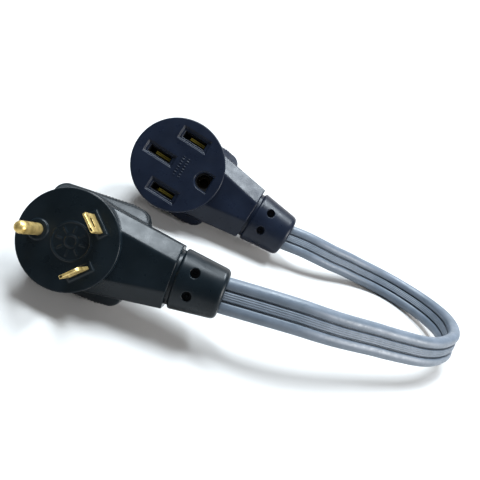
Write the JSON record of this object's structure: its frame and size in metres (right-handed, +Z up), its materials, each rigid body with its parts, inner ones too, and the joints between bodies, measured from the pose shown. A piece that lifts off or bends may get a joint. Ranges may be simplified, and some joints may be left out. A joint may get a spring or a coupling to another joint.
{
  "type": "power adapter lead",
  "caption": "Short flat power adapter lead: an angled plug with a round pin and two slanted blades, looped round to an angled connector with slotted openings.",
  "frame": {"origin": "under the middle of the two heads, on the surface that the adapter lies on", "axes": "+Z up, +X along the plug's cable exit towards the loop, +Y from the plug to the connector"},
  "size_m": [0.2889, 0.1961, 0.0762],
  "materials": {
    "black_pvc": "satin moulded PVC, slightly blue-black",
    "carrier_plastic": "matte glass-filled plastic",
    "brass": "satin stamped brass",
    "grey_jacket": "satin extruded PVC, blue-grey",
    "copper": "stranded copper",
    "black_insulation": "satin",
    "white_insulation": "satin",
    "green_insulation": "satin"
  },
  "bodies": {
    "root": {"plug_face": "black_pvc", "plug_body": "black_pvc", "plug_core": "carrier_plastic", "ground_pin": "brass", "hot_blade": "brass", "neutral_blade": "brass", "plug_strain_relief": "black_pvc", "plug_hot_wire": "black_insulation", "plug_neutral_wire": "white_insulation", "plug_ground_wire": "green_insulation", "plug_hot_copper": "copper", "plug_neutral_copper": "copper", "plug_ground_copper": "copper", "cable": "grey_jacket", "connector_face": "black_pvc", "connector_body": "black_pvc", "connector_core": "carrier_plastic", "contact_hot_x": "brass", "contact_hot_y": "brass", "contact_neutral": "brass", "contact_ground": "brass", "hot_jumper": "brass", "connector_strain_relief": "black_pvc", "connector_hot_wire": "black_insulation", "connector_neutral_wire": "white_insulation", "connector_ground_wire": "green_insulation", "connector_hot_copper": "copper", "connector_neutral_copper": "copper", "connector_ground_copper": "copper"}
  },
  "joints": []
}
